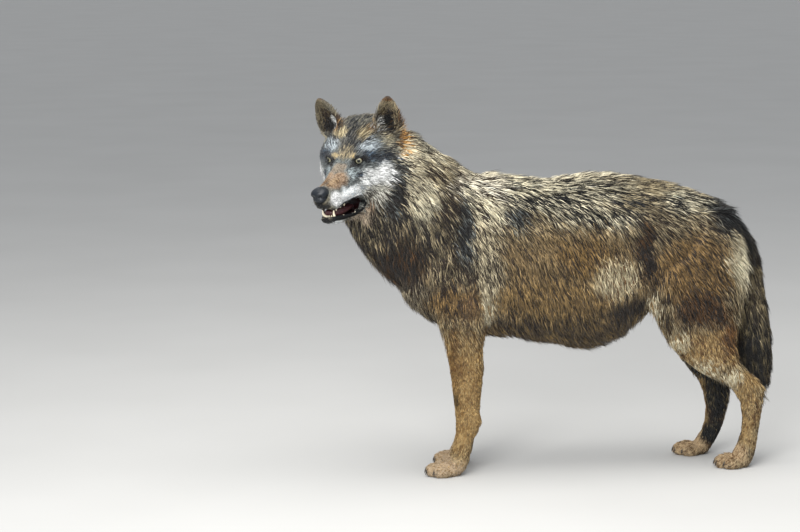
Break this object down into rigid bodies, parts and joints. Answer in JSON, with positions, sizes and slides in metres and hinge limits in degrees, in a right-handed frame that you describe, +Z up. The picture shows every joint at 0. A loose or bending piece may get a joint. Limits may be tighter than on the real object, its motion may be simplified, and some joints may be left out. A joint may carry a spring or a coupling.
{
  "type": "timber wolf",
  "caption": "Life-size still model of a timber wolf standing on all fours, head turned to its left, mouth a little open and tail hanging.",
  "frame": {"origin": "on the floor, under the middle of the box round the whole wolf", "axes": "+Z up, -Y the way the body faces, +X the wolf's left, towards which the head is turned"},
  "size_m": [0.3776, 1.1748, 0.9456],
  "materials": {
    "fur": "dense fur, grey to ochre with black-tipped and cream streaks",
    "nose": "moist dark skin",
    "eye": "wet amber eye with a black pupil",
    "claw": "dark horn",
    "tongue": "moist flesh"
  },
  "bodies": {
    "root": {"head": "fur", "jaw": "fur", "neck": "fur", "trunk": "fur", "tail": "fur", "ear_left": "fur", "ear_right": "fur", "foreleg_left": "fur", "foreleg_right": "fur", "hindleg_left": "fur", "hindleg_right": "fur", "nose": "nose", "tongue": "tongue", "eye_left": "eye", "eye_right": "eye", "claw_foreleg_left_inner": "claw", "claw_foreleg_left_second": "claw", "claw_foreleg_left_third": "claw", "claw_foreleg_left_outer": "claw", "claw_foreleg_right_inner": "claw", "claw_foreleg_right_second": "claw", "claw_foreleg_right_third": "claw", "claw_foreleg_right_outer": "claw", "claw_hindleg_left_inner": "claw", "claw_hindleg_left_second": "claw", "claw_hindleg_left_third": "claw", "claw_hindleg_left_outer": "claw", "claw_hindleg_right_inner": "claw", "claw_hindleg_right_second": "claw", "claw_hindleg_right_third": "claw", "claw_hindleg_right_outer": "claw"}
  },
  "joints": []
}
